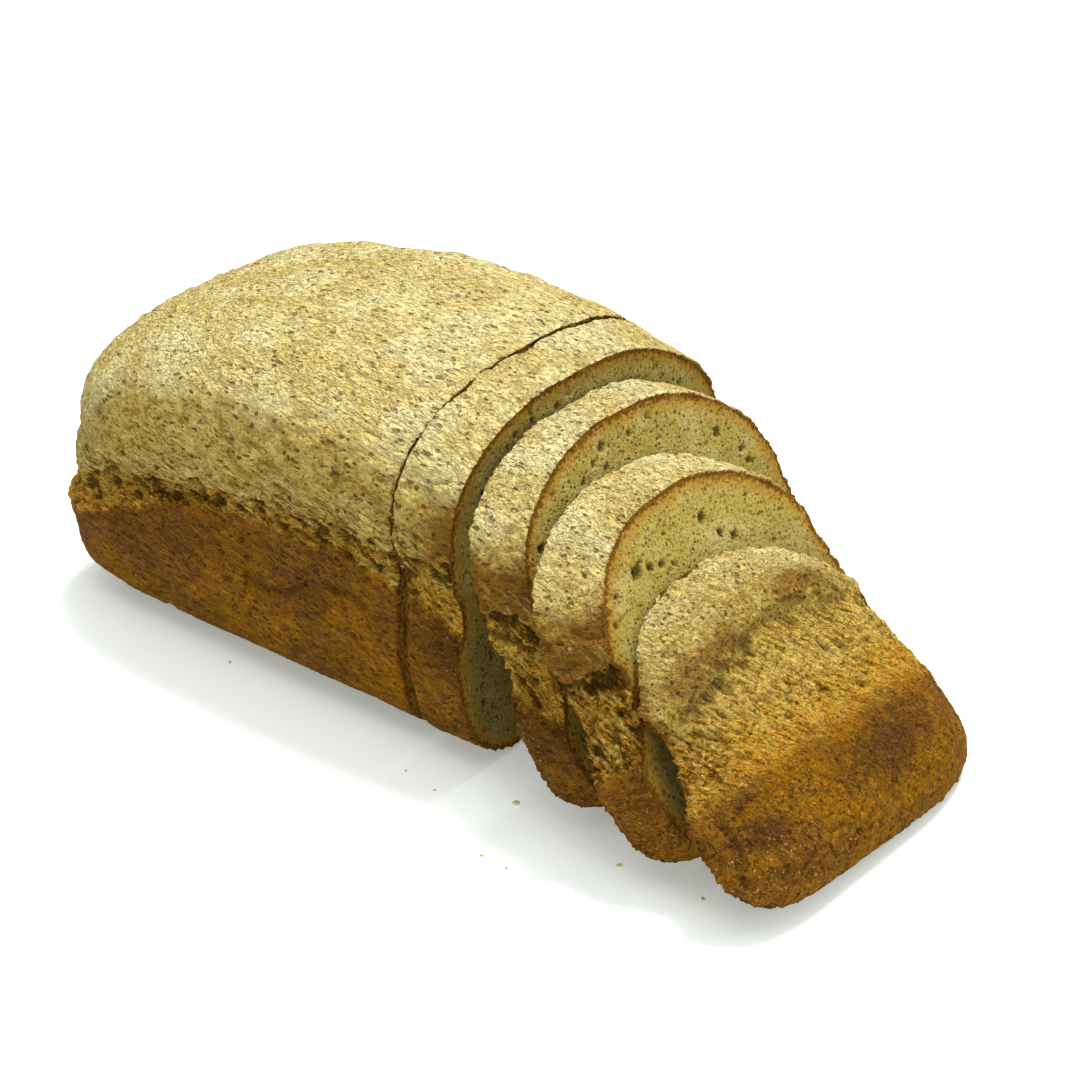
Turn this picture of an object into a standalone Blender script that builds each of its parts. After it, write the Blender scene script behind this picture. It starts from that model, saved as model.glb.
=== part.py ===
# Brown tin loaf, partly sliced: a block, three slices and the end crust, fanned out from one end.
# Metres, +Z up. The loaf's length lies along X, its sliced end at +X, and its near side at -Y.

from collections import namedtuple
from math import cos, pi, radians, sin

import bmesh
import bpy
from mathutils import Euler, Matrix, Vector, noise

# One long side of the uncut loaf, as half widths from the loaf's middle and heights above the base.
# The tin holds the loaf up to its rim; above the rim the dough swells out to the bulge and domes over.
Side = namedtuple("Side", "base rim rim_height bulge bulge_height width_power height_power")
NEAR = Side(0.0605, 0.0678, 0.0340, 0.0645, 0.0510, 2.5, 4.1)
FAR = Side(0.0675, 0.0630, 0.0320, 0.0620, 0.0460, 4.0, 4.0)

# One end of the uncut loaf: how far its bulge stands out past the rim, how square it is in plan,
# and how steeply the dome falls to it. The right end's near corner is squarer at its foot.
End = namedtuple("End", "overhang plan_power fall_power")
LEFT_END = End(-0.0089, 7.0, 1.5)
RIGHT_END = End(-0.0040, 4.2, 3.3)

LOAF_HEIGHT = 0.1080
BOTTOM_ROUND = 0.0178
TOP_PLAN_POWER = 2.0
NEAR_CORNER_POWER = 6.5
NEAR_CORNER_SQUARE = 0.0100
NEAR_CORNER_ROUND = 0.0700
CROWN_SHIFT = -0.0138

# The rings that the uncut loaf is built from: the turns of the rounded foot, the steps in height up the
# tin side and the torn band, and the turns over the dome.
PLAN_POINTS = 104
BOTTOM_TURNS = [radians(degrees) for degrees in (0, 18, 36, 54, 72, 90)]
TIN_RING_STEP = 0.0042
TIN_RINGS = 3
BAND_RING_START = 0.0330
BAND_RING_STEP = 0.0028
BAND_RINGS = 17
DOME_TURNS = [radians(degrees) for degrees in (16, 21, 27, 34, 42, 51, 60, 69, 78, 86)]

# The pieces from left to right, with their thickness along the loaf as it was before slicing.
BLOCK_LENGTH = 0.1489
SLICE_THICKNESS = {"slice_1": 0.0195, "slice_2": 0.0155, "slice_3": 0.0155, "heel": 0.0140}

# How each cut piece stands: lean towards the block, tip sideways (negative away from the near side) and
# turn about Z, in degrees, and how far its base has slid sideways.
Stand = namedtuple("Stand", "lean tip turn side_step")
STANDS = {
    "slice_1": Stand(2.1, 0.0, -0.7, -0.0012),
    "slice_2": Stand(20.7, 0.5, 1.7, -0.0070),
    "slice_3": Stand(31.0, -2.0, 4.5, -0.0182),
    "heel": Stand(41.7, -4.6, 2.5, -0.0238),
}
TOUCH_GAP = 0.0003

# The torn band between the tin-side crust and the dome's crust. At points along the loaf: the height of its
# foot, where the tin's rim was, the height of the lip of dome crust above it, how gently the lip rises, and
# the band's depth. On the far side it is shallower.
Band = namedtuple("Band", "along foot lip rise depth")
BAND = (
    Band(-0.0900, 0.0360, 0.0460, 0.0060, 0.0020), Band(-0.0690, 0.0425, 0.0540, 0.0070, 0.0022),
    Band(-0.0470, 0.0500, 0.0600, 0.0080, 0.0022), Band(-0.0290, 0.0550, 0.0650, 0.0090, 0.0022),
    Band(0.0210, 0.0565, 0.0700, 0.0110, 0.0022), Band(0.0422, 0.0545, 0.0690, 0.0100, 0.0022),
    Band(0.0560, 0.0480, 0.0600, 0.0060, 0.0018), Band(0.0680, 0.0400, 0.0580, 0.0040, 0.0020),
    Band(0.0800, 0.0330, 0.0590, 0.0030, 0.0022), Band(0.0950, 0.0350, 0.0615, 0.0030, 0.0006))
BAND_DEPTH_END_WALL = 0.0026
BAND_SHARE_FAR_SIDE = 0.35
FAR_SIDE_FROM = 0.0450
FOOT_SPREAD = 0.0025
TORN_SIZE = 0.0070
TORN_SHARE = 0.35
LIP_PROUD = 0.0004
LIP_PROUD_HEEL = 0.0012
HEEL_NEARS = 0.0400
HEEL_REACHED = 0.0150
LIP_FOOT = 0.0020
LIP_FULL = 0.0010
LIP_FADES = 0.0040
LIP_GONE = 0.0160
RAGGED = 0.0030
RAGGED_SIZE = 0.0180

# The lip on the right end wall: its height at points across the loaf, from the near side to the far side,
# and how far in from the end the long side's lip gives way to it.
END_LIP = (
    (-0.0500, 0.0615), (-0.0340, 0.0620), (-0.0050, 0.0725),
    (0.0100, 0.0705), (0.0250, 0.0680), (0.0550, 0.0600))
END_LIP_STARTS = 0.0160
END_LIP_FULL = 0.0080

# Unevenness of the baked crust.
SWELL_SIZE = 0.034
SWELL_DEPTH = 0.0012
LUMP_SIZE = 0.011
LUMP_DEPTH = 0.0004
NOISE_SEED = Vector((3.7, 1.3, 8.1))

HALF_LENGTH = (BLOCK_LENGTH + sum(SLICE_THICKNESS.values())) / 2


def clear_scene():
    for old in list(bpy.data.objects):
        bpy.data.objects.remove(old, do_unlink=True)


def srgb(hex_colour):
    """Linear colour of an sRGB hex value."""
    values = [int(hex_colour[i:i + 2], 16) / 255 for i in (0, 2, 4)]
    return [v / 12.92 if v <= 0.04045 else ((v + 0.055) / 1.055) ** 2.4 for v in values] + [1.0]


def make_material(name, hex_colour, roughness):
    material = bpy.data.materials.new(name)
    material.use_nodes = True
    shader = material.node_tree.nodes["Principled BSDF"]
    shader.inputs["Base Color"].default_value = srgb(hex_colour)
    shader.inputs["Roughness"].default_value = roughness
    shader.inputs["Metallic"].default_value = 0.0
    return material


def blend(low, high, value):
    """0 below low, 1 above high, and a smooth rise between."""
    t = min(max((value - low) / (high - low), 0.0), 1.0)
    return t * t * (3 - 2 * t)


def corner_inset(height):
    """How far the rounded bottom edge stands in from the side."""
    if height >= BOTTOM_ROUND:
        return 0.0
    drop = 1 - height / BOTTOM_ROUND
    return BOTTOM_ROUND * (1 - (1 - drop * drop) ** 0.5)


def dome_share(height, side):
    """How much of its bulge's size the dome still has at a height."""
    rise = (height - side.bulge_height) / (LOAF_HEIGHT - side.bulge_height)
    return max(1 - max(rise, 0.0) ** side.height_power, 0.0)


def half_width(height, side):
    if height <= side.rim_height:
        return side.base + (side.rim - side.base) * height / side.rim_height - corner_inset(height)
    if height <= side.bulge_height:
        t = (height - side.rim_height) / (side.bulge_height - side.rim_height)
        return side.rim + (side.bulge - side.rim) * sin(t * pi / 2)
    return side.bulge * dome_share(height, side) ** (1 / side.width_power)


def half_length(height, end):
    reach = HALF_LENGTH - corner_inset(height)
    swell = blend(NEAR.rim_height, NEAR.bulge_height, height) * end.overhang
    return (reach + swell) * dome_share(height, NEAR) ** (1 / end.fall_power)


def ring_power(height, end, side):
    """Plan shape of the loaf at a height: nearly square in the tin, oval at the crown."""
    power = end.plan_power
    if end is RIGHT_END and side is NEAR:
        rounding = blend(NEAR_CORNER_SQUARE, NEAR_CORNER_ROUND, height)
        power = NEAR_CORNER_POWER + (power - NEAR_CORNER_POWER) * rounding
    t = blend(NEAR.bulge_height, LOAF_HEIGHT, height)
    return power + (TOP_PLAN_POWER - power) * t


def crown_offset(height):
    t = max(height - NEAR.rim_height, 0.0) / (LOAF_HEIGHT - NEAR.rim_height)
    return CROWN_SHIFT * t ** 1.5


def signed_power(value, power):
    return abs(value) ** power * (1 if value >= 0 else -1)


def ring_point(height, angle):
    c, s = cos(angle), sin(angle)
    end = RIGHT_END if c >= 0 else LEFT_END
    side = FAR if s >= 0 else NEAR
    power = 2 / ring_power(height, end, side)
    x = half_length(height, end) * signed_power(c, power)
    y = half_width(height, side) * signed_power(s, power) + crown_offset(height)
    return Vector((x, y, height))


def ring_heights():
    """Heights of the rings, closest together over the torn band and towards the crown."""
    rounded = [BOTTOM_ROUND * (1 - cos(turn)) for turn in BOTTOM_TURNS]
    tin_side = [BOTTOM_ROUND + TIN_RING_STEP * t for t in range(1, TIN_RINGS + 1)]
    band = [BAND_RING_START + BAND_RING_STEP * t for t in range(BAND_RINGS)]
    dome_span = LOAF_HEIGHT - NEAR.bulge_height
    dome = [NEAR.bulge_height + dome_span * sin(turn) ** (2 / NEAR.height_power) for turn in DOME_TURNS]
    return rounded + tin_side + band + dome


def between(points, place):
    """The row of a table at a place between its points, on straight lines."""
    place = min(max(place, points[0][0]), points[-1][0])
    for start, stop in zip(points, points[1:]):
        if place <= stop[0]:
            share = (place - start[0]) / (stop[0] - start[0])
            return [low + (high - low) * share for low, high in zip(start, stop)]


def torn_band(point):
    """The torn band's foot, the ragged lip above it, the lip's rise and the band's depth near a point."""
    foot, lip, rise, depth = between(BAND, point.x)[1:]
    end_wall = blend(HALF_LENGTH - END_LIP_STARTS, HALF_LENGTH - END_LIP_FULL, point.x)
    lip += (between(END_LIP, point.y)[1] - lip) * end_wall
    depth += (BAND_DEPTH_END_WALL - depth) * end_wall
    depth *= 1 - (1 - BAND_SHARE_FAR_SIDE) * blend(0.0, FAR_SIDE_FROM, point.y)
    wander = noise.noise(Vector((point.x, point.y, 0)) / RAGGED_SIZE + NOISE_SEED)
    return foot + RAGGED * wander / 2, lip + RAGGED * wander, rise, depth


def crust_relief(point):
    """How far the surface moves out along its normal at a point of the smooth loaf."""
    swell = noise.noise(point / SWELL_SIZE + NOISE_SEED) * SWELL_DEPTH
    lump = noise.noise(point / LUMP_SIZE + NOISE_SEED) * LUMP_DEPTH
    foot, top, rise, depth = torn_band(point)
    inside = blend(foot - FOOT_SPREAD, foot + FOOT_SPREAD, point.z) * (1 - blend(top - rise, top, point.z))
    lip = blend(top - LIP_FOOT, top + LIP_FULL, point.z)
    lip *= 1 - blend(top + LIP_FADES, top + LIP_GONE, point.z)
    heel_share = blend(HALF_LENGTH - HEEL_NEARS, HALF_LENGTH - HEEL_REACHED, point.x)
    proud = LIP_PROUD + (LIP_PROUD_HEEL - LIP_PROUD) * heel_share
    torn = 1 + TORN_SHARE * noise.noise(point / TORN_SIZE + NOISE_SEED)
    return swell + lump - depth * inside * torn + proud * lip


def build_whole_loaf():
    """The uncut loaf as stacked rings, closed below by a flat base and above by a small cap."""
    bm = bmesh.new()
    rings = []
    for height in ring_heights():
        angles = [2 * pi * i / PLAN_POINTS for i in range(PLAN_POINTS)]
        verts = [bm.verts.new(ring_point(height, angle)) for angle in angles]
        rings.append([bm.edges.new((verts[i - 1], verts[i])) for i in range(PLAN_POINTS)])
    for lower, upper in zip(rings, rings[1:]):
        bmesh.ops.bridge_loops(bm, edges=lower + upper)
    bmesh.ops.edgenet_fill(bm, edges=rings[0])
    crown = bmesh.ops.edgenet_fill(bm, edges=rings[-1])["faces"]
    bmesh.ops.poke(bm, faces=crown)
    bmesh.ops.recalc_face_normals(bm, faces=bm.faces)
    bm.normal_update()
    moves = [(v, v.normal * crust_relief(v.co)) for v in bm.verts if v.co.z > BOTTOM_ROUND / 2]
    for vert, move in moves:
        vert.co += move
    return bm


def cut_piece(whole, start, stop):
    """The stretch of the loaf between two knife cuts, with flat capped faces."""
    bm = whole.copy()
    for place, keep_side in ((start, 1), (stop, -1)):
        if abs(place) >= HALF_LENGTH:
            continue
        everything = bm.verts[:] + bm.edges[:] + bm.faces[:]
        cut = bmesh.ops.bisect_plane(
            bm, geom=everything, dist=1e-6, plane_co=(place, 0, 0), plane_no=(1, 0, 0),
            clear_inner=keep_side > 0, clear_outer=keep_side < 0)
        edges = [g for g in cut["geom_cut"] if isinstance(g, bmesh.types.BMEdge)]
        bmesh.ops.edgenet_fill(bm, edges=edges)
    bmesh.ops.remove_doubles(bm, verts=bm.verts, dist=1e-5)
    bmesh.ops.triangulate(bm, faces=bm.faces)
    bmesh.ops.recalc_face_normals(bm, faces=bm.faces)
    bmesh.ops.translate(bm, verts=bm.verts, vec=(-start if start > -HALF_LENGTH else 0, 0, 0))
    return bm


def add_piece(name, bm, material):
    mesh = bpy.data.meshes.new(name)
    bm.to_mesh(mesh)
    bm.free()
    mesh.materials.append(material)
    mesh.shade_smooth()
    mesh.set_sharp_from_angle(angle=radians(50))
    piece = bpy.data.objects.new(name, mesh)
    bpy.context.scene.collection.objects.link(piece)
    return piece


def stand_matrix(piece):
    return Matrix.LocRotScale(piece.location, piece.rotation_euler, None)


def rest_on_floor(piece):
    turned = stand_matrix(piece)
    piece.location.z -= min((turned @ v.co).z for v in piece.data.vertices)


def lean_against(piece, back_point, back_normal):
    """Slide a piece along X until it just clears the front face of the piece behind it."""
    placed = stand_matrix(piece)
    nearest = min((placed @ v.co - back_point).dot(back_normal) for v in piece.data.vertices)
    piece.location.x += (TOUCH_GAP - nearest) / back_normal.x


def centre_on_base(pieces):
    """Put the origin under the middle of the whole, on the surface that it stands on."""
    points = [stand_matrix(piece) @ v.co for piece in pieces for v in piece.data.vertices]
    for axis in (0, 1):
        values = [p[axis] for p in points]
        middle = (min(values) + max(values)) / 2
        for piece in pieces:
            piece.location[axis] -= middle


def main():
    clear_scene()
    crust = make_material("baked_crust", "B08A4E", 0.85)
    crumb = make_material("bread_crumb", "B5A063", 0.9)
    whole = build_whole_loaf()
    place = BLOCK_LENGTH - HALF_LENGTH
    block = add_piece("loaf", cut_piece(whole, -HALF_LENGTH, place), crust)
    pieces = [block]
    front_point, front_normal = Vector((place, 0, 0)), Vector((1, 0, 0))
    for name, thickness in SLICE_THICKNESS.items():
        stand = STANDS[name]
        material = crust if name == "heel" else crumb
        piece = add_piece(name, cut_piece(whole, place, place + thickness), material)
        piece.rotation_euler = Euler((radians(stand.tip), -radians(stand.lean), radians(stand.turn)))
        piece.location = (place, stand.side_step, 0)
        rest_on_floor(piece)
        lean_against(piece, front_point, front_normal)
        turned = stand_matrix(piece)
        front_point = turned @ Vector((thickness, 0, 0))
        front_normal = (turned.to_3x3() @ Vector((1, 0, 0))).normalized()
        place += thickness
        pieces.append(piece)
    whole.free()
    centre_on_base(pieces)


main()
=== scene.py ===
import math
import random
from collections import namedtuple

import bmesh
import bpy
import numpy as np
from bpy.props import FloatProperty, FloatVectorProperty, IntProperty, PointerProperty
from mathutils import Euler, Matrix, Vector, noise
from mathutils.bvhtree import BVHTree


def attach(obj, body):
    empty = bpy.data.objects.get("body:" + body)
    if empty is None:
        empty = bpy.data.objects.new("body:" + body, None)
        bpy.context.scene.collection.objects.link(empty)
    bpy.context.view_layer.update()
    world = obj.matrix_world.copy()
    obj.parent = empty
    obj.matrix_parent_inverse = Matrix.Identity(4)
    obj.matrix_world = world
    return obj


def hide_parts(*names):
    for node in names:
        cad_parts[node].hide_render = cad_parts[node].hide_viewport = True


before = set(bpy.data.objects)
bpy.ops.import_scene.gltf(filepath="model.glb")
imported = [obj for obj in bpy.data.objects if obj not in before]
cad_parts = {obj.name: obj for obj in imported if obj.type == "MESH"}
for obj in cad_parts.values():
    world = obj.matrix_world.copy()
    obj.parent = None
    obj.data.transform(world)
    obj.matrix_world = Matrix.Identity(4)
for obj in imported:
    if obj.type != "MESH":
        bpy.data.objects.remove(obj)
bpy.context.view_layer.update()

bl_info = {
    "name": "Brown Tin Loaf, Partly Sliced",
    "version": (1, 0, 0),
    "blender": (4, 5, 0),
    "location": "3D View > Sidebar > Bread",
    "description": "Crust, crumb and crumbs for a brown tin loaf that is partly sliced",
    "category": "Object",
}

# The uncut loaf has its own axes, in millimetres: X along it, -Y its near side, Z up from its base.
# Every pattern runs on those axes, so that it carries on over the cuts from piece to piece. MM is how
# many millimetres a metre has, and LOAF_ORIGIN is where those axes start in the whole's own, in metres.
MM = 1000.0
LOAF_ORIGIN = Vector((-0.036290, 0.008962, 0.0))

# Where the knife cut, in mm, and how each piece stands: its lean towards the block, tip and turn in
# degrees, and its side step in mm.
Stand = namedtuple("Stand", "back front lean tip turn side_step")
STANDS = {
    "loaf": Stand(-106.7, 42.2, 0.0, 0.0, 0.0, 0.0),
    "slice_1": Stand(42.2, 61.7, 2.1, 0.0, -0.7, -1.2),
    "slice_2": Stand(61.7, 77.2, 20.7, 0.5, 1.7, -7.0),
    "slice_3": Stand(77.2, 92.7, 31.0, -2.0, 4.5, -18.2),
    "heel": Stand(92.7, 106.7, 41.7, -4.6, 2.5, -23.8),
}

# The torn band at places along the loaf: the tin rim's height, and the height where the dome's crust
# ends in a lip.
BAND_ALONG = (-90, -69, -47, -29, 21, 42.2, 56, 68, 76, 80, 95)
BAND_FOOT = (33, 41, 50, 55, 56.5, 54.5, 48, 40, 36, 33, 35.5)
BAND_LIP = (46, 54, 60, 65, 70, 69, 69, 69, 66, 61, 62)
# The same lip across the right end wall.
END_LIP_ACROSS = (-50, -34, -5, 10, 25, 55)
END_LIP = (61.5, 62, 72.5, 70.5, 68, 60)
# Where in the noise's endless field the loaf lies.
NOISE_SEED = np.array((3.7, 1.3, 8.1))
# The loaf's own end walls are farther from its middle than this, and every cut is nearer.
FARTHEST_CUT = 106.0
# How close to the plane of a cut a point has to be, and how deep under the crust, to count as crumb.
# Both are shares of the mesh's grid.
ON_CUT = 0.3
UNDER_CRUST = 0.4
# The cut faces are sunk this far, in mm, so that the grain of the crumb stays within the solid. Holes are
# at least so far from the crust, and the shade in them is full from this depth.
CUT_SUNK = 0.35
HOLE_FROM_CRUST = 3.0
FULL_SHADE_DEPTH = 0.7

# The parts of the crust that its material tells apart, with the crest's painted light and the hollows'
# painted shade among them. Every point has a share of each, from 0 to 1.
ZONES = (
    "tin", "dome", "baked", "crest", "dark", "deep", "stretched", "gold", "speckled", "hollow", "fringe")

# Which way the dough was drawn out where it tore, on each piece.
STRANDS = {
    "loaf": (0.96, 0.0, -0.28), "slice_1": (0.88, 0.0, -0.47), "slice_2": (0.55, 0.0, -0.83),
    "slice_3": (0.50, 0.0, -0.86), "heel": (0.0, 0.58, -0.81)}


def linear(hex_colour):
    """Linear colour of an sRGB hex value."""
    values = [int(hex_colour[i:i + 2], 16) / 255 for i in (0, 2, 4)]
    return tuple(v / 12.92 if v <= 0.04045 else ((v + 0.055) / 1.055) ** 2.4 for v in values)


def colour(name, description, hex_colour):
    """A colour setting. Its first value is given in sRGB."""
    return FloatVectorProperty(
        name=name, description=description, subtype="COLOR", min=0, max=1, default=linear(hex_colour))


def length(name, description, millimetres):
    """A length setting in metres. Its first value is given in millimetres."""
    return FloatProperty(
        name=name, description=description, unit="LENGTH", min=0, default=millimetres / MM)


class LoafColours(bpy.types.PropertyGroup):
    """Colours of the crust and the crumb."""
    dome: colour("Dome", "Straw colour of the dome's crust", "CFB872")
    # On the dome's steep sides this deeper gold is partly the crust's own colour and partly painted shade.
    dome_low_and_shade: colour("Low dome", "Deeper gold on the dome's steep sides", "C2A655")
    # Along the crest this pale is partly the crust's own colour and partly painted light.
    dome_pale_and_light: colour("Pale dome", "Driest, palest crust along the crest", "E4DAA6")
    # In the dints of the dome's grain this colour is painted shade.
    fleck: colour("Fleck", "Bran flecks and pits in the dome's crust", "643C12")
    # This brown is also painted shade in the cavities of the dome and the torn band, and in the torn band's
    # gaps.
    baked: colour("Baked edge", "Browned crust above the torn lip", "82550F")
    torn: colour("Torn band", "Golden dough that tore as the loaf rose", "CA9C34")
    strand: colour("Strand", "Pale stretched strands and crumbs of torn dough", "D6BC66")
    # Painted shade: the dark put in the torn band's hollows, gaps and dints, under its lip, along the first
    # cut and in the tin side's pits.
    hollow: colour("Hollow", "Dark hollows of the torn band", "3A2605")
    tin: colour("Tin side", "Crust that baked against the tin", "96640A")
    tin_red: colour("Tin side, red", "Redder crust just under the tin's rim", "764A1E")
    # Besides the crust's own darkest part, this is painted shade in the tin side's creases, cavities and
    # dints and along the first cut.
    tin_dark_and_shade: colour("Tin side, dark", "Most strongly baked part of the tin side", "4C2E16")
    crumb: colour("Crumb", "Wholemeal crumb on a cut face", "9E8A42")
    # In the pores, the holes and low in the loaf this dark is painted shade; elsewhere it is the crumb's own
    # darker grain.
    crumb_deep: colour("Pore", "Inside of the crumb's holes", "4A3A0C")
    rind: colour("Rind", "Thin line of crust round a cut face", "5F3D0E")
    under_rind: colour("Under the rind", "Browner crumb just inside the crust", "956C20")
    gold: colour("Gold", "Crisp golden crumbs of torn dough next to the tin side", "D08E20")
    flour: colour("Flour", "Specks of flour on the crust", "CDBB88")


class LoafSizes(bpy.types.PropertyGroup):
    """Sizes of the bread's relief and patterns."""
    block_grid: length("Block grid", "Spacing of the block's mesh", 1.14)
    slice_grid: length("Slice grid", "Spacing of the slices' and the heel's mesh", 0.62)
    fleck_long: length("Fleck length", "Usual length of a bran fleck", 3.0)
    fleck_wide: length("Fleck width", "Usual width of a bran fleck", 1.7)
    pore: length("Pore", "Spacing of the crumb's fine pores", 1.5)
    rind: length("Rind", "Thickness of the crust on a cut face", 1.4)
    hole: length("Hole", "Width of the largest usual hole in the crumb", 2.6)
    holes: IntProperty(name="Holes", description="Most holes on each cut face", min=0, default=260)


class CrumbSettings(bpy.types.PropertyGroup):
    """Loose crumbs on the table."""
    size: length("Crumb size", "Width of a usual loose crumb", 1.1)
    seed: IntProperty(name="Seed", description="Which set of crumb shapes is used", default=5)


class StageSettings(bpy.types.PropertyGroup):
    """Table, light and camera."""
    floor: colour("Floor", "Plain pale floor", "F1F2F1")
    glow: FloatProperty(
        name="Table glow", description="Light that the table itself gives", min=0, default=0.29)
    sky: colour("Sky", "Very slightly green white of the even light", "F2FBF6")
    world: FloatProperty(
        name="Sky light", description="Strength of the even white light", min=0, default=0.53)
    key: FloatProperty(
        name="Key light", description="Power of the softbox behind the loaf, in which the others share",
        min=0, default=36.0)
    lens: FloatProperty(
        name="Lens", description="Focal length on a 36 mm sensor", min=1, default=108.0)


def rise(low, high, value):
    """0 below low, 1 above high, and a smooth rise between."""
    t = np.clip((value - low) / (high - low), 0, 1)
    return t * t * (3 - 2 * t)


def bumps(points, size, stretch=(1, 1, 1), seed=0.0):
    """Smooth noise, about -1 to 1, at points in mm, with lumps of a size stretched along the axes."""
    cells = points / (size * np.array(stretch, float)) + seed + NOISE_SEED
    return np.array([noise.noise(cell) for cell in cells.tolist()])


def loaf_axes(name):
    """The turn and shift that take a piece from where it lies to its place in the uncut loaf, in mm."""
    stand = STANDS[name]
    origin = np.array(LOAF_ORIGIN) * MM
    if name == "loaf":
        return np.eye(3), -origin
    angles = (math.radians(stand.tip), -math.radians(stand.lean), math.radians(stand.turn))
    turn = np.array(Euler(angles).to_matrix())
    lying = np.array([v.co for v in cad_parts[name].data.vertices]) * MM
    turned = lying @ turn
    low = turned.min(0)
    # The back face is at the cut and the base on the loaf's base; the side step fixes the third direction.
    across = stand.side_step + origin[1] - turn[1, 0] * low[0] - turn[1, 2] * low[2]
    return turn, np.array((stand.back - low[0], -across / turn[1, 1], -low[2]))


class Piece:
    """A finely meshed copy of one solid, in the uncut loaf's axes, with its zones and its relief."""

    def __init__(self, name, grid):
        self.name = name
        self.turn, self.shift = loaf_axes(name)
        stand = STANDS[name]
        bm = bmesh.new()
        bm.from_mesh(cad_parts[name].data)
        bmesh.ops.remove_doubles(bm, verts=bm.verts, dist=1e-5)
        for vert in bm.verts:
            vert.co = Vector(np.array(vert.co) * MM @ self.turn + self.shift)
        bm.normal_update()
        # Faces that are no cuts are crust, and a point's depth in the crumb is measured from those.
        self.cuts = [x for x in (stand.back, stand.front) if abs(x) < FARTHEST_CUT]
        crust = [f for f in bm.faces if not any(
            abs(f.normal.x) > 0.99 and abs(f.calc_center_median().x - x) < 0.2 for x in self.cuts)]
        corners = [Vector(v.co) for v in bm.verts]
        skin = BVHTree.FromPolygons(corners, [[v.index for v in f.verts] for f in crust])
        source = bpy.data.meshes.new(name + "_solid")
        bm.to_mesh(source)
        bm.free()
        holder = bpy.data.objects.new(name + "_solid", source)
        bpy.context.scene.collection.objects.link(holder)
        remesh = holder.modifiers.new("Even grid", "REMESH")
        remesh.mode = "VOXEL"
        remesh.voxel_size = grid * MM
        seen = holder.evaluated_get(bpy.context.evaluated_depsgraph_get())
        self.mesh = bpy.data.meshes.new_from_object(seen)
        bpy.data.objects.remove(holder)
        bpy.data.meshes.remove(source)
        if name == "loaf":
            self.refine_band()
        count = len(self.mesh.vertices)
        self.points = np.empty(count * 3)
        self.mesh.vertices.foreach_get("co", self.points)
        self.points = self.points.reshape(-1, 3)
        self.normals = np.empty(count * 3, np.float32)
        self.mesh.vertex_normals.foreach_get("vector", self.normals)
        self.normals = self.normals.reshape(-1, 3).astype(float)
        self.rind = np.array([skin.find_nearest(p)[3] for p in self.points.tolist()])
        edge = ON_CUT * grid * MM
        on_back = (np.abs(self.points[:, 0] - stand.back) < edge) & (stand.back in self.cuts)
        on_front = (np.abs(self.points[:, 0] - stand.front) < edge) & (stand.front in self.cuts)
        self.side = np.where(on_front, 1.0, 0.0) - np.where(on_back, 1.0, 0.0)
        self.cut = (self.side != 0) & (self.rind > UNDER_CRUST * grid * MM)
        self.move = np.zeros((count, 3))
        self.fields = {}

    def refine_band(self):
        """Halves the grid along the torn band, on the near side and round the left end."""
        bm = bmesh.new()
        bm.from_mesh(self.mesh)
        centres = np.array([f.calc_center_median() for f in bm.faces])
        along, across, height = centres.T
        # The margins, in mm, take in the ragged edges of the band.
        torn = height > np.interp(along, BAND_ALONG, BAND_FOOT) - 3
        torn &= height < np.interp(along, BAND_ALONG, BAND_LIP) + 9
        torn &= (across < -30) | (along < -85)
        torn &= along < STANDS["loaf"].front - 0.5
        edges = {edge for face, inside in zip(bm.faces, torn) if inside for edge in face.edges}
        bmesh.ops.subdivide_edges(bm, edges=list(edges), cuts=1, use_grid_fill=True)
        bm.to_mesh(self.mesh)
        bm.free()

    def to_lying(self, points):
        """Takes points from the uncut loaf's axes, in mm, to where the piece lies, in metres."""
        return (points - self.shift) @ self.turn.T / MM


def band_lines(points):
    """The tin rim's height and the lip's height beside each point, both ragged."""
    along, across = points[:, 0], points[:, 1]
    foot = np.interp(along, BAND_ALONG, BAND_FOOT)
    lip = np.interp(along, BAND_ALONG, BAND_LIP)
    lip += (np.interp(across, END_LIP_ACROSS, END_LIP) - lip) * rise(90.7, 98.7, along)
    flat = points * (1, 1, 0)
    wander = bumps(flat, 18.0)
    ragged = bumps(points, 5.0, seed=2) + 0.7 * bumps(points, 2.0, seed=5)
    return foot + 1.5 * wander + 1.8 * ragged, lip + 3.0 * wander + 2.3 * ragged


def along_strands(piece):
    """The points on axes turned so that the first runs along the torn strands."""
    first = np.array(STRANDS[piece.name])
    second = np.cross(first, (1.0, 0.0, 0.0) if piece.name == "heel" else (0.0, 1.0, 0.0))
    second /= np.linalg.norm(second)
    return piece.points @ np.array((first, second, np.cross(first, second))).T


def spot_at(points, place, size):
    """1 at a place on the uncut loaf, falling smoothly to 0 at the edge of an oval."""
    return 1 - rise(0.25, 1.0, np.linalg.norm((points - place) / size, axis=1))


# Spots on the heel, as a place and half widths in mm: where its lip is browned, where its torn dough is
# deepest and where it is floured.
HEEL_LIP_LEFT = ((102, -31, 67), (14, 26, 14))
HEEL_LIP_RIGHT = ((102, 13, 71), (14, 17, 12))
HEEL_DEEP = ((97, -46, 47), (14, 13, 10))
HEEL_FLOURED = ((104, -45, 8), (24, 60, 24))
# Dark patches of its tin side, each with its strength first.
HEEL_PATCHES = (
    (0.65, (105, 9, 23), (14, 32, 13)), (1.1, (100, -46, 35), (14, 14, 11)),
    (1.1, (103, -46, 22), (14, 13, 7)), (0.6, (103, -14, 36), (14, 12, 7)))


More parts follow.
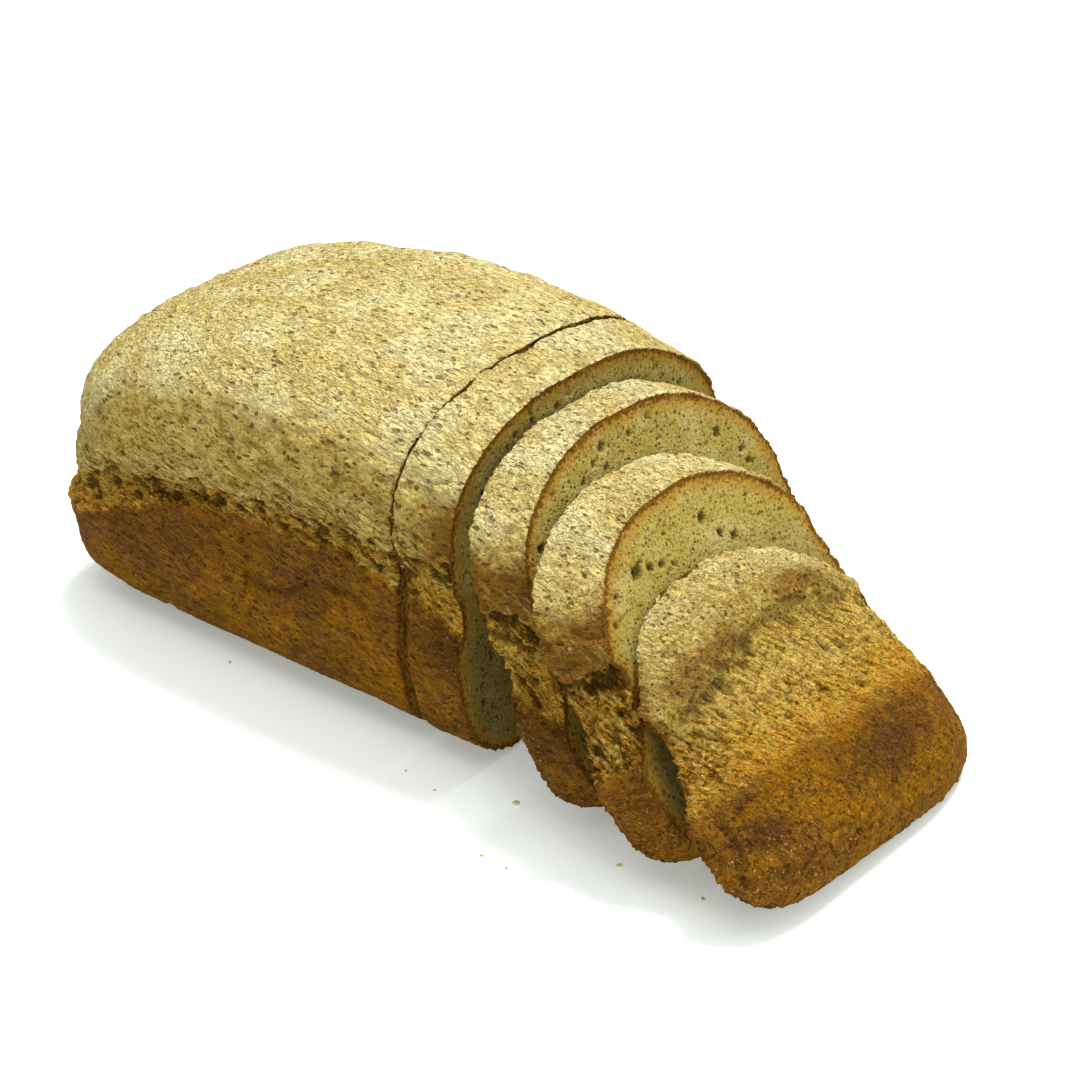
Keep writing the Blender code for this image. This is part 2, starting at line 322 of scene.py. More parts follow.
def mark_zones(piece):
    """Works out which part of the crust each point of a piece belongs to."""
    points = piece.points
    along, across, height = points.T
    foot, lip = band_lines(points)
    drawn = along_strands(piece)
    piece.fields["drawn"] = drawn
    heel = rise(STANDS["heel"].back, 96.0, along)
    last_slice = rise(76, 78, along)
    sliced = rise(40, 60, along)
    left_end = rise(65, 98, -along)
    # Along the block the crust hangs over the band in strands, and less and less to its left end.
    hanging = np.clip(0.2 + bumps(drawn, 1.3, (7.0, 1, 1), 38), 0, 1) * rise(-85, -45, along)
    over, above = height - foot, height - lip + 8.0 * hanging * (1 - sliced)
    fade = 2.0 + 9.0 * heel + 5.0 * left_end
    tin = 1 - rise(-fade, fade, over)
    dome = rise(-0.8, 0.8, above)
    piece.fields["tin"] = tin
    piece.fields["dome"] = dome
    piece.fields["torn"] = (1 - tin) * (1 - dome)
    # The crust above the lip is browned on the slices' near shoulders and on the heel.
    shoulder = rise(48, 60, along) * rise(20, 45, -across)
    reach = 19 + 3 * bumps(points, 9.0, seed=9) - 8 * heel
    left_lip = spot_at(points, *HEEL_LIP_LEFT)
    lip_patches = left_lip + spot_at(points, *HEEL_LIP_RIGHT)
    strength = 1.1 * shoulder * (1 - heel) + heel * np.clip(0.08 + 0.9 * lip_patches, 0, 0.72)
    piece.fields["baked"] = np.clip(strength * (1 - rise(0.5 * reach, reach, above)) * dome, 0, 1)
    # The crest's share rises where a point faces up, and towards the left end. There the crust is painted
    # paler and the steep sides darker: partly the crust's own tone, partly painted light on top and painted
    # shade on the sides.
    up = piece.normals[:, 2] + 0.2 * bumps(points, 26.0, seed=17) + 0.5 * rise(55, 95, -along)
    piece.fields["crest"] = rise(0.25, 0.95, up)
    # Just above the lip the crust is drawn out in a fringe, fainter on the shoulders and on the heel.
    long = 18 + 6 * bumps(points, 12.0, seed=20)
    fringe = (1 - rise(0.1 * long, long, above)) * rise(-5, 0, above)
    piece.fields["fringe"] = fringe * (1 - 0.75 * heel) * (1 - 0.7 * shoulder)
    # The tin side is darkest under the rim, more so on the slices, and in patches on the heel.
    under_rim = rise(-32, -8, over) * (1 - rise(-3, 1, over))
    patches = sum(strength * spot_at(points, *spot) for strength, *spot in HEEL_PATCHES)
    dark = 0.35 * under_rim * (1 - sliced) + heel * patches
    dark += sliced * under_rim * (1 - heel) * (1 - 0.5 * last_slice)
    piece.fields["dark"] = np.clip(dark + 0.35 * bumps(points, 15.0, seed=18), 0, 1)
    # Away from the heel's pale end wall the torn dough is browner and darker.
    browner = 0.55 - 0.25 * sliced + 0.6 * last_slice + 0.5 * bumps(points, 10.0, seed=24)
    deep = (1 - heel) * rise(-95, -60, along) * browner
    deep += heel * (0.4 * patches + 0.8 * spot_at(points, *HEEL_DEEP))
    piece.fields["deep"] = np.clip(deep, 0, 1)
    near_tin = 1 - rise(2, 13, over + 7 * bumps(points, 5.0, seed=34))
    piece.fields["gold"] = near_tin * (0.55 + 0.3 * heel + 0.3 * left_end)
    piece.fields["stretched"] = heel * rise(6, 20, over + 3 * bumps(points, 8.0, seed=31))
    piece.fields["speckled"] = np.clip(
        sliced * (0.35 - 0.3 * heel + bumps(points, 20.0, seed=19))
        + heel * 0.9 * spot_at(points, *HEEL_FLOURED), 0, 1)
    under_lip = rise(-10, -4, above) * (1 - rise(-1.0, 0.8, above)) * (1 - 0.3 * heel)
    under_lip *= (1 - 0.85 * left_end) * (1 + 1.2 * heel * left_lip)
    piece.fields["under_lip"] = under_lip
    piece.fields["flush"] = left_end * (1 - rise(0, 16, above))


# Creases in the tin side, each a line of places along and up the loaf on its near side.
CREASES = {
    "loaf": ((-17, 37), (-4.5, 36), (7.4, 43.6), (22.8, 45), (32.8, 41.6)),
    "heel": ((99.6, 34), (100.8, 26), (99.4, 19), (97.7, 13.8)),
}


def crease_at(piece):
    """1 along a piece's crease in the tin side, falling to 0 beside it."""
    points = piece.points
    flat = points[:, (0, 2)] + 0.9 * bumps(points, 3.5, seed=36)[:, None]
    crease = np.zeros(len(points))
    line = np.array(CREASES.get(piece.name, ()), float)
    for start, end in zip(line, line[1:]):
        step = end - start
        share = np.clip((flat - start) @ step / (step @ step), 0, 1)
        off_line = np.linalg.norm(flat - start - share[:, None] * step, axis=1)
        crease = np.maximum(crease, 1 - rise(0.4, 1.4, off_line))
    return crease * rise(25, 35, -points[:, 1])


def crust_relief(piece):
    """Moves the crust's points out and in: lumps, pits, creases, torn fibres and hollows, and sets the
    painted shade of the creases, of the torn band's hollows, under its lip and along the first cut.
    """
    points, fields = piece.points, piece.fields
    drawn = fields["drawn"]
    heel = piece.name == "heel"
    lumps = 0.62 * bumps(points, 7.5, (1.4, 1, 1), 1) + 0.50 * bumps(points, 3.2, (1.7, 1, 1), 3)
    pits = rise(0.20, 0.50, bumps(points, 1.9, (1.7, 1, 1), 6))
    crease_line = 1 - rise(0.0, 0.10, np.abs(bumps(points, 8.0, (2.6, 1, 1), 8)))
    creased = crease_line * rise(-0.1, 0.3, bumps(points, 24.0, seed=11))
    domed = lumps * (1.3 - 0.3 * fields["crest"]) - 0.45 * pits - 0.80 * creased
    fibres = bumps(drawn, 1.4, (6.0 if heel else 3.8, 1, 1), 12)
    crumbs = bumps(points, 1.7, seed=25)
    grooves = 0.85 * bumps(drawn, 1.7, (3.6, 1, 1), 13) + 0.65 * bumps(points, 4.5, seed=29)
    hollows = rise(0.20, 0.55, grooves + (0.2 if heel else 0.5) * fields["under_lip"])
    torn = 0.75 * fibres + (0.55 if heel else 0.95) * crumbs - (0.6 if heel else 1.1) * hollows
    torn += 0.35 * bumps(points, 3.0, seed=33) + 0.5 * bumps(points, 1.15, seed=37)
    torn -= fields["under_lip"] * np.clip(0.6 + 0.7 * bumps(points, 3.6, seed=30) + 0.6 * crumbs, 0, 1.2)
    fine_pits = rise(0.22, 0.50, bumps(points, 2.0, seed=16))
    tin = 0.35 * bumps(points, 13.0, seed=14) + 0.28 * crumbs - 0.50 * fine_pits
    cracks = 1 - rise(0.0, 0.07, np.abs(bumps(points, 10.0, (1.6, 1, 0.8), 26)))
    tin -= 0.8 * cracks * rise(0.15, 0.45, bumps(points, 22.0, seed=27))
    creased_side = crease_at(piece)
    tin -= 0.9 * creased_side
    # The creases are also painted darker: painted shade.
    fields["dark"] = np.clip(fields["dark"] + 0.4 * creased_side, 0, 1)
    out = fields["dome"] * (domed + 0.7 * fields["fringe"] * fibres)
    out += fields["torn"] * torn + (1 - fields["dome"]) * fields["tin"] * tin
    # At the left end the dome comes down flush with the band.
    out += fields["flush"] * (2.0 * fields["dome"] + 0.8 * fields["torn"])
    # Under the lip the torn band is painted dark: painted shade.
    shaded = (0.3 if heel else 0.6) * fields["under_lip"] * rise(-0.1, 0.3, bumps(points, 3.5, seed=35))
    # The crust crumbles a little along the cuts.
    from_cut = np.min([np.abs(points[:, 0] - x) for x in piece.cuts], axis=0)
    low_down = 1 - rise(60, 92, points[:, 2])
    out -= low_down * (1 - rise(0.3, 2.4, from_cut)) * np.clip(0.3 + 1.1 * crumbs, 0, 1.1)
    # Single crumbs of crust stand out along the cuts.
    single = np.clip(bumps(points, 1.7, seed=39) - 0.05, 0, 1)
    out += low_down * (1 - rise(0.4, 1.8, from_cut)) * 1.3 * single
    # Its loosest cut is the first, between the block and the slice against it.
    first = np.abs(points[:, 0] - STANDS["loaf"].front)
    seam = low_down * (1 - rise(0.2, 1.8, first))
    out -= seam * np.clip(0.9 + 0.9 * crumbs, 0, 1.6)
    # Along this cut, and in the torn band's hollows, the crust is painted dark: painted shade.
    fields["dark"] = np.clip(fields["dark"] + 1.3 * seam, 0, 1)
    fields["hollow"] = np.clip(fields["torn"] * (hollows * (0.4 if heel else 0.8) + shaded + seam), 0, 1)
    piece.move += piece.normals * np.where(piece.cut, 0, out)[:, None]


def crumb_relief(piece, settings, known=()):
    """Sinks round and oval holes into the cut faces, with a fine grain between them."""
    points = piece.points
    sunk = np.zeros(len(points))
    draw = random.Random(piece.name)
    largest = settings.hole * MM / 2
    for side in (-1.0, 1.0):
        face = np.nonzero(piece.cut & (piece.side == side))[0]
        if not len(face):
            continue
        flat = points[face][:, 1:]
        inside = piece.rind[face]
        holes = [(y, z, r, r * 0.8) for y, z, r in known if side > 0]
        for _ in range(settings.holes):
            at = face[draw.randrange(len(face))]
            if piece.rind[at] < HOLE_FROM_CRUST:
                continue
            size = largest * (0.28 + 0.72 * draw.random() ** 2.6)
            holes.append((points[at, 1], points[at, 2], size, size * draw.uniform(0.5, 0.9)))
        for y, z, wide, tall in holes:
            tilt = draw.uniform(-0.5, 0.9)
            dy, dz = flat[:, 0] - y, flat[:, 1] - z
            u = (dy * math.cos(tilt) + dz * math.sin(tilt)) / wide
            v = (-dy * math.sin(tilt) + dz * math.cos(tilt)) / tall
            near = u * u + v * v
            depth = np.sqrt(np.clip(1 - near, 0, 1)) * min(wide, tall) * 1.25
            sunk[face] = np.maximum(sunk[face], depth)
        sunk[face] *= rise(0.8, 2.0, inside)
    grain = 0.16 * bumps(points, 1.3, seed=21) + 0.22 * bumps(points, 4.5, seed=22)
    piece.fields["hole"] = np.clip(sunk / FULL_SHADE_DEPTH, 0, 1)
    # Next to the crust the cut is rougher, where the knife dragged.
    rough = 0.5 * (1 - rise(1.0, 4.0, piece.rind)) * bumps(points, 2.0, seed=28)
    inward = np.zeros((len(points), 3))
    inward[:, 0] = -piece.side * (sunk + CUT_SUNK - grain - rough)
    piece.move += inward * piece.cut[:, None]


def finish_piece(piece, crust, crumb):
    """Stores what the materials read, moves the points, and puts the piece where it lies."""
    mesh = piece.mesh
    values = {**piece.fields, "rind": piece.rind}
    for name in (*ZONES, "hole", "rind"):
        attribute = mesh.attributes.new(name, "FLOAT", "POINT")
        attribute.data.foreach_set("value", values[name].astype(np.float32))
    for name, places in (("loaf", piece.points), ("drawn", piece.fields["drawn"])):
        attribute = mesh.attributes.new(name, "FLOAT_VECTOR", "POINT")
        attribute.data.foreach_set("vector", places.astype(np.float32).ravel())
    moved = piece.to_lying(piece.points + piece.move)
    # Nothing goes under the table.
    moved[:, 2] = np.maximum(moved[:, 2], 0)
    mesh.vertices.foreach_set("co", moved.astype(np.float32).ravel())
    mesh.materials.clear()
    mesh.materials.append(crust)
    mesh.materials.append(crumb)
    # A face is crumb where half of its corners or more are on a cut.
    corners = np.empty(len(mesh.loops), int)
    mesh.loops.foreach_get("vertex_index", corners)
    sizes = np.empty(len(mesh.polygons), int)
    mesh.polygons.foreach_get("loop_total", sizes)
    starts = np.concatenate(([0], np.cumsum(sizes)[:-1]))
    cut_share = np.add.reduceat(piece.cut[corners].astype(float), starts) / sizes
    mesh.polygons.foreach_set("material_index", (cut_share > 0.49).astype(np.int32))
    mesh.polygons.foreach_set("use_smooth", np.ones(len(mesh.polygons), bool))
    mesh.update()
    made = bpy.data.objects.new(piece.name + "_bread", mesh)
    bpy.context.scene.collection.objects.link(made)
    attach(made, "root")
    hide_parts(piece.name)
    return made


def add_node(tree, kind, inputs=None, **settings):
    """Adds a node with its settings. Each input is a value, or an output to link."""
    node = tree.nodes.new(kind)
    for key, value in settings.items():
        setattr(node, key, value)
    for key, value in (inputs or {}).items():
        if isinstance(value, bpy.types.NodeSocket):
            tree.links.new(value, node.inputs[key])
        else:
            node.inputs[key].default_value = value
    return node


def new_material(name):
    """A new material, with its node tree and its shader."""
    material = bpy.data.materials.new(name)
    material.use_nodes = True
    tree = material.node_tree
    return material, tree, tree.nodes["Principled BSDF"]


def product(tree, first, second):
    """One value times another."""
    return add_node(tree, "ShaderNodeMath", {0: first, 1: second}, operation="MULTIPLY").outputs[0]


def ramp(tree, source, low, high, start=0.0, end=1.0):
    """Runs smoothly from start to end as its source goes from low to high."""
    return add_node(tree, "ShaderNodeMapRange", {
        "Value": source, "From Min": low, "From Max": high, "To Min": start, "To Max": end},
        interpolation_type="SMOOTHSTEP").outputs["Result"]


def cell_spots(tree, place, scale, chance, low, high):
    """A spot in each cell of a pattern: 1 up to low from its middle, and 0 past high.

    Each cell has its own random value, and chance is how much that makes its spot smaller, or none.
    """
    cell = add_node(tree, "ShaderNodeTexVoronoi", {"Vector": place, "Scale": scale})
    uneven = add_node(tree, "ShaderNodeMath", {
        0: cell.outputs["Color"], 1: chance, 2: cell.outputs["Distance"]}, operation="MULTIPLY_ADD")
    return ramp(tree, uneven.outputs[0], low, high, 1.0, 0.0)


def layered(tree, start, layers):
    """Lays colours over each other, each by its mask and strength."""
    below = start
    for mask, strength, hue in layers:
        share = product(tree, mask, strength)
        below = add_node(
            tree, "ShaderNodeMix", {0: share, 6: below, 7: hue}, data_type="RGBA").outputs[2]
    return below


def link_bump(tree, shader, parts, distance):
    """Gives a shader relief finer than the mesh: the sum of some patterns, each times its amount."""
    height = None
    for mask, amount in parts:
        part = product(tree, mask, amount)
        height = part if height is None else add_node(
            tree, "ShaderNodeMath", {0: height, 1: part}, operation="ADD").outputs[0]
    bump = add_node(tree, "ShaderNodeBump", {"Height": height, "Strength": 1.0, "Distance": distance})
    tree.links.new(bump.outputs["Normal"], shader.inputs["Normal"])


def crust_material(colours, sizes):
    # Wholemeal bread crust, oven-baked in a tin: dry, matte and uneven, so almost no highlight. The dome is
    # straw with brown bran flecks, the torn band golden and fibrous, and the tin side brown with fine pits.
    name = "wholemeal_crust_oven_baked"
    if name in bpy.data.materials:
        return bpy.data.materials[name]
    material, tree, shader = new_material(name)
    place = add_node(tree, "ShaderNodeAttribute", attribute_name="loaf").outputs["Vector"]
    drawn = add_node(tree, "ShaderNodeAttribute", attribute_name="drawn").outputs["Vector"]
    zone = {key: add_node(tree, "ShaderNodeAttribute", attribute_name=key).outputs["Fac"]
            for key in ZONES}

    # Cells of each pattern in millimetres, along, across and up the loaf, with their rows a little bent.
    bend = add_node(tree, "ShaderNodeTexNoise", {"Vector": place, "Scale": 1 / 4.0, "Detail": 3.0})
    bent = add_node(tree, "ShaderNodeVectorMath", {0: bend.outputs["Color"], 1: (4.5, 2.5, 3.5), 2: place},
                    operation="MULTIPLY_ADD")
    long, wide = sizes.fleck_long * MM, sizes.fleck_wide * MM
    spots = {}
    for key, cell, chance, low, high in (
            ("fleck", (long, wide, wide), 0.5, 0.36, 0.50),
            ("speck", (long * 0.5, wide * 0.5, wide * 0.5), 0.5, 0.40, 0.58),
            ("flour", (1.5, 1.5, 1.5), 0.0, 0.13, 0.22)):
        grid = add_node(tree, "ShaderNodeMapping", {
            "Vector": bent.outputs["Vector"], "Scale": [1 / c for c in cell]})
        spots[key] = cell_spots(tree, grid.outputs["Vector"], 1.0, chance, low, high)
    waves = {}
    for key, source, cell, detail, warp in (
            ("broad", place, (20.0, 20.0, 20.0), 2.0, 0.0), ("lump", place, (4.8, 3.2, 3.2), 4.0, 0.5),
            ("grain", place, (1.5, 1.1, 1.1), 1.5, 0.0), ("fibre", drawn, (7.0, 1.1, 1.1), 3.0, 0.45)):
        grid = add_node(tree, "ShaderNodeMapping", {"Vector": source, "Scale": [1 / c for c in cell]})
        waves[key] = add_node(tree, "ShaderNodeTexNoise", {
            "Vector": grid.outputs["Vector"], "Scale": 1.0, "Detail": detail, "Roughness": 0.6,
            "Distortion": warp}).outputs["Fac"]

    # Each mask runs from 0 to 1 between two values of its source. The cavity and dint masks take the low
    # parts of the lumps and of the grain, which the bump sinks, and so does the gap mask between the
    # strands: they are painted shade.
    masks = {}
    for key, source, low, high in (
            ("pale", waves["broad"], 0.38, 0.66), ("mottle", waves["lump"], 0.40, 0.58),
            ("dry", waves["lump"], 0.50, 0.66), ("cavity_shade", waves["lump"], 0.49, 0.36),
            ("strand", waves["fibre"], 0.50, 0.62), ("gap", waves["fibre"], 0.49, 0.38),
            ("dint_shade", waves["grain"], 0.45, 0.32), ("crumb", waves["grain"], 0.55, 0.66)):
        masks[key] = ramp(tree, source, low, high)
    for key, first, second in (
            ("fringe_gap", zone["fringe"], masks["gap"]), ("fringe_strand", zone["fringe"], masks["strand"]),
            ("specks", spots["speck"], masks["mottle"]), ("crest_pale", zone["crest"], masks["pale"]),
            ("floured", spots["flour"], zone["speckled"]), ("baked_dint", zone["baked"], masks["mottle"]),
            ("deep_gap", zone["deep"], masks["gap"]), ("deep_crumb", zone["deep"], masks["crumb"]),
            ("torn_crumb", masks["crumb"], masks["dry"]), ("crest_dry", zone["crest"], masks["dry"])):
        masks[key] = product(tree, first, second)

    hues = {key: (*getattr(colours, key), 1.0) for key in (
        "dome", "dome_low_and_shade", "dome_pale_and_light", "fleck", "baked", "torn", "strand", "hollow", "tin", "tin_red",
        "tin_dark_and_shade", "gold", "flour")}

    # The dome: its crest painted paler, partly painted light, and its cavities, dints and the fringe's gaps
    # painted darker as painted shade.
    dome = layered(tree, hues["dome_low_and_shade"], (
        (masks["dry"], 0.65, hues["dome"]), (masks["cavity_shade"], 0.65, hues["baked"]),
        (masks["dint_shade"], 0.45, hues["fleck"]), (zone["crest"], 0.80, hues["dome"]),
        (masks["crest_pale"], 0.60, hues["dome_pale_and_light"]), (masks["crest_dry"], 0.30, hues["dome_pale_and_light"]),
        (zone["baked"], 0.90, hues["baked"]), (masks["baked_dint"], 0.55, hues["fleck"]),
        (zone["fringe"], 0.25, hues["baked"]), (masks["fringe_strand"], 0.90, hues["strand"]),
        (masks["fringe_gap"], 0.72, hues["hollow"]), (spots["fleck"], 0.82, hues["fleck"]),
        (masks["specks"], 0.62, hues["fleck"]), (zone["crest"], 0.14, hues["dome"])))
    # The torn band: its cavities, gaps, dints and hollows painted dark as painted shade.
    torn = layered(tree, hues["torn"], (
        (zone["stretched"], 0.50, hues["strand"]), (zone["gold"], 0.70, hues["gold"]),
        (zone["deep"], 0.80, hues["baked"]), (masks["cavity_shade"], 0.35, hues["baked"]),
        (masks["strand"], 0.50, hues["strand"]), (masks["gap"], 0.90, hues["baked"]),
        (masks["dint_shade"], 0.60, hues["hollow"]), (masks["deep_gap"], 0.90, hues["hollow"]),
        (masks["deep_crumb"], 0.70, hues["gold"]), (masks["torn_crumb"], 0.80, hues["strand"]),
        (zone["hollow"], 0.90, hues["hollow"])))
    # The tin side: its cavities, dints and pits painted dark as painted shade, and its creases through its
    # dark share.
    tin = layered(tree, hues["tin"], (
        (masks["pale"], 0.65, hues["tin_red"]), (masks["torn_crumb"], 0.50, hues["gold"]),
        (zone["dark"], 0.72, hues["tin_dark_and_shade"]), (masks["cavity_shade"], 0.45, hues["tin_dark_and_shade"]),
        (masks["dint_shade"], 0.60, hues["tin_dark_and_shade"]), (spots["fleck"], 0.60, hues["hollow"]),
        (masks["floured"], 0.60, hues["flour"])))
    # The grain makes the line between the band and the tin side ragged.
    ragged = add_node(
        tree, "ShaderNodeMath", {0: waves["grain"], 1: 0.8, 2: zone["tin"]}, operation="MULTIPLY_ADD")
    tin_part = ramp(tree, ragged.outputs[0], 0.65, 1.15)
    whole = layered(tree, torn, ((tin_part, 1.0, tin), (zone["dome"], 1.0, dome)))
    tree.links.new(whole, shader.inputs["Base Color"])

    # Lumps, grains and strands stand out, and flecks are sunk.
    link_bump(tree, shader, (
        (waves["lump"], 3.0), (waves["grain"], 1.0), (masks["strand"], 0.55), (spots["fleck"], -0.5),
        (spots["speck"], -0.3)), distance=0.0015)
    shader.inputs["Roughness"].default_value = 0.88
    shader.inputs["IOR"].default_value = 1.40
    shader.inputs["Specular IOR Level"].default_value = 0.08
    return material


def crumb_material(colours, sizes):
    # Wholemeal crumb, cut with a knife: soft, dull and porous, with almost no highlight. It is olive-tan
    # with pores and holes painted dark as painted shade, browner towards the rind, and edged by a thin line
    # of crust.
    name = "wholemeal_crumb_knife_cut"
    if name in bpy.data.materials:
        return bpy.data.materials[name]
    material, tree, shader = new_material(name)
    place = add_node(tree, "ShaderNodeAttribute", attribute_name="loaf").outputs["Vector"]
    rind = add_node(tree, "ShaderNodeAttribute", attribute_name="rind").outputs["Fac"]
    hole = add_node(tree, "ShaderNodeAttribute", attribute_name="hole").outputs["Fac"]
    pore = sizes.pore * MM
    spots = []
    for cell_size, low, high in ((pore, 0.22, 0.55), (pore * 0.5, 0.22, 0.60)):
        spots.append(cell_spots(tree, place, 1 / cell_size, 0.5, low, high))
    broad, fine = [
        add_node(tree, "ShaderNodeTexNoise", {
            "Vector": place, "Scale": 1 / cell_size, "Detail": detail}).outputs["Fac"]
        for cell_size, detail in ((9.0, 3.0), (1.1, 4.0))]
    # The fine noise makes the rind's inner line uneven.
    edge = add_node(tree, "ShaderNodeMath", {0: fine, 1: 5.5, 2: -1.8}, operation="MULTIPLY_ADD").outputs[0]
    depth = add_node(tree, "ShaderNodeMath", {0: rind, 1: edge}, operation="SUBTRACT").outputs[0]
    thick = sizes.rind * MM
    line, under = ramp(tree, depth, thick, 0.0), ramp(tree, depth, thick * 4.2, 0.0)
    patch, grain = ramp(tree, broad, 0.35, 0.70), ramp(tree, fine, 0.50, 0.68)
    # The crumb is painted darker low in the loaf: painted shade, as falls low between the pieces.
    up = add_node(tree, "ShaderNodeSeparateXYZ", {"Vector": place}).outputs["Z"]
    low_shade = ramp(tree, up, 80.0, 30.0)
    crumb, deep, pale, under_rind, crust = (
        (*hue, 1.0) for hue in (
            colours.crumb, colours.crumb_deep, colours.dome_pale_and_light, colours.under_rind, colours.rind))
    # The pores and holes are painted dark: painted shade.
    whole = layered(tree, crumb, (
        (patch, 0.16, pale), (grain, 0.45, deep), (spots[0], 0.75, deep), (spots[1], 0.45, deep),
        (hole, 0.75, deep), (low_shade, 0.50, deep), (under, 0.90, under_rind), (line, 0.92, crust)))
    tree.links.new(whole, shader.inputs["Base Color"])
    link_bump(tree, shader, ((fine, 0.6), (spots[0], -0.8), (spots[1], -0.4)), distance=0.0008)
    shader.inputs["Roughness"].default_value = 0.95
    shader.inputs["IOR"].default_value = 1.35
    shader.inputs["Specular IOR Level"].default_value = 0.08
    return material


# Larger holes that stand out on two faces: across and up the loaf, and half width, in mm.
KNOWN_HOLES = {
    "slice_2": (
        (-16.2, 95.1, 1.8), (-26.0, 83.9, 1.9), (-25.4, 81.2, 1.5), (-38.0, 81.6, 1.0), (-50.9, 80.1, 1.5),
        (4.9, 95.0, 1.0), (31.3, 79.1, 1.6), (39.5, 70.3, 1.4), (-27.5, 89.0, 0.9)),
    "slice_3": (
        (-30.1, 77.6, 2.3), (-24.5, 76.7, 1.5), (-19.5, 75.4, 1.5), (-15.4, 73.6, 1.0), (2.8, 79.5, 2.0),
        (7.3, 73.2, 1.4), (12.3, 70.2, 1.6), (-41.4, 75.4, 1.2), (-46.8, 72.8, 1.3), (-46.1, 69.2, 1.2)),
}


def make_bread(context, name, grid):
    """Makes one piece, with its zones, its relief and its materials."""
    sizes, colours = context.scene.loaf_sizes, context.scene.loaf_colours
    piece = Piece(name, grid)
    mark_zones(piece)
    crust_relief(piece)
    crumb_relief(piece, sizes, KNOWN_HOLES.get(name, ()))
    return finish_piece(piece, crust_material(colours, sizes), crumb_material(colours, sizes))


class LOAF_OT_block(bpy.types.Operator):
    """Dress the uncut block of the loaf in its crust and crumb"""
    bl_idname = "loaf.block"
    bl_label = "Bake the Block"

    def execute(self, context):
        make_bread(context, "loaf", context.scene.loaf_sizes.block_grid)
        return {"FINISHED"}


class LOAF_OT_slices(bpy.types.Operator):
    """Dress the three leaning slices"""
    bl_idname = "loaf.slices"
    bl_label = "Bake the Slices"

    def execute(self, context):
        for name in ("slice_1", "slice_2", "slice_3"):
            make_bread(context, name, context.scene.loaf_sizes.slice_grid)
        return {"FINISHED"}


class LOAF_OT_heel(bpy.types.Operator):
    """Dress the end crust with its ragged lip"""
    bl_idname = "loaf.heel"
    bl_label = "Bake the Heel"

    def execute(self, context):
        make_bread(context, "heel", context.scene.loaf_sizes.slice_grid)
        return {"FINISHED"}


# Loose crumbs on the table: place along and across in the whole's own axes, and width, in mm. The size
# setting makes them all larger or smaller: at USUAL_CRUMB they have these widths.
USUAL_CRUMB = 1.3
CRUMBS = (
    (12.3, -64.6, 0.8), (24.9, -66.7, 0.9), (47.2, -58.0, 1.6), (55.4, -82.6, 1.1), (64.4, -83.0, 1.2),
    (87.9, -63.3, 1.5), (114.5, -61.4, 1.7), (-66.6, -54.0, 1.2))


class LOAF_OT_crumbs(bpy.types.Operator):
    """Scatter the loose crumbs on the table"""
    bl_idname = "loaf.crumbs"
    bl_label = "Scatter Crumbs"

    def execute(self, context):
        settings = context.scene.loaf_crumbs
        draw = random.Random(settings.seed)
        bm = bmesh.new()
        for along, across, width in CRUMBS:
            radius = width * settings.size * MM / USUAL_CRUMB / 2
            ball = bmesh.ops.create_icosphere(bm, subdivisions=2, radius=radius)["verts"]
            stretch = Vector((draw.uniform(0.8, 1.5), draw.uniform(0.7, 1.2), draw.uniform(0.5, 0.9)))
            for vert in ball:
                bumpy = 1 + 0.45 * noise.noise(vert.co / radius * 1.3 + Vector((along, across, 0)))
                vert.co = Vector(a * b for a, b in zip(vert.co, stretch)) * bumpy
            bmesh.ops.rotate(bm, verts=ball, matrix=Matrix.Rotation(draw.uniform(0, math.tau), 3, "Z"))
            low = min(vert.co.z for vert in ball)
            bmesh.ops.translate(bm, verts=ball, vec=(along, across, -low))
        bmesh.ops.scale(bm, verts=bm.verts, vec=(1 / MM,) * 3)
        mesh = bpy.data.meshes.new("loose_crumbs")
        bm.to_mesh(mesh)
        bm.free()
        material, tree, shader = new_material("dry_crumbs_brushed_off")
        # Dry bread crumbs broken off by the knife: rough and dull, in shades of pale straw.
        place = add_node(tree, "ShaderNodeTexCoord").outputs["Object"]
        patch = add_node(tree, "ShaderNodeTexNoise", {"Vector": place, "Scale": 90.0, "Detail": 3.0})
        colours = context.scene.loaf_colours
        mixed = add_node(tree, "ShaderNodeMix", {
            0: patch.outputs["Fac"], 6: (*colours.dome_pale_and_light, 1.0), 7: (*colours.strand, 1.0)},
            data_type="RGBA")
        tree.links.new(mixed.outputs[2], shader.inputs["Base Color"])
        shader.inputs["Roughness"].default_value = 0.9
        mesh.materials.append(material)
        made = bpy.data.objects.new("loose_crumbs", mesh)
        context.scene.collection.objects.link(made)
        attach(made, "root")
        return {"FINISHED"}


# The camera in the whole's own axes, in metres, its roll, and its sensor's width in millimetres.
CAMERA_AT = Vector((0.52444, -0.62531, 0.52023))
CAMERA_AIM = Vector((0.02603, -0.01986, 0.06013))
CAMERA_ROLL = math.radians(-0.9)
SENSOR_WIDTH = 36.0
FLOOR_RADIUS = 3.0
# The softboxes, each with its place and width in metres and its share of the key light's power.
SOFTBOXES = {
    "softbox_behind": ((0.0, 0.50, 1.65), 0.6, 1.0),
    "softbox_above": ((0.1, -0.3, 2.0), 1.6, 0.4),
    "softbox_right": ((1.3, -0.5, 1.0), 0.5, 0.12),
}


